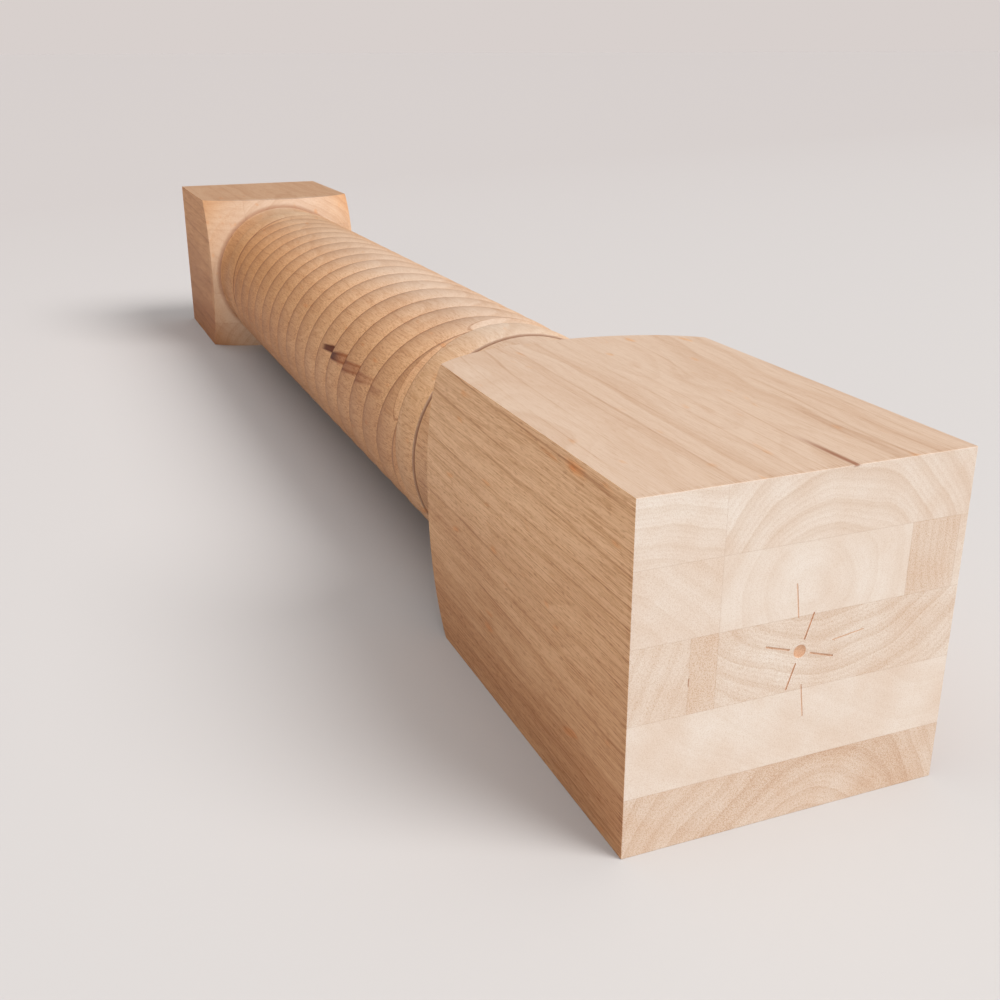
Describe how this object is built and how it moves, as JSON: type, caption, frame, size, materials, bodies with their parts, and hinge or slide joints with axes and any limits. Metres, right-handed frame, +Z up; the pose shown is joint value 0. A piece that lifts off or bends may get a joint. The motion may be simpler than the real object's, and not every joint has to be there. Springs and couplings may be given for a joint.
{
  "type": "cabinet column",
  "caption": "Square-ended wooden column with a round rope-carved shaft between two plain blocks, for a cabinet corner, a kitchen island or a leg.",
  "frame": {"origin": "on the surface it lies on, under the middle of the column's length and width", "axes": "+X along the column towards the end of its longer block, +Z up as it lies on one side"},
  "size_m": [0.7134, 0.1, 0.1],
  "materials": {
    "wood": "sanded, unfinished"
  },
  "bodies": {
    "root": {"column": "wood"}
  },
  "joints": []
}
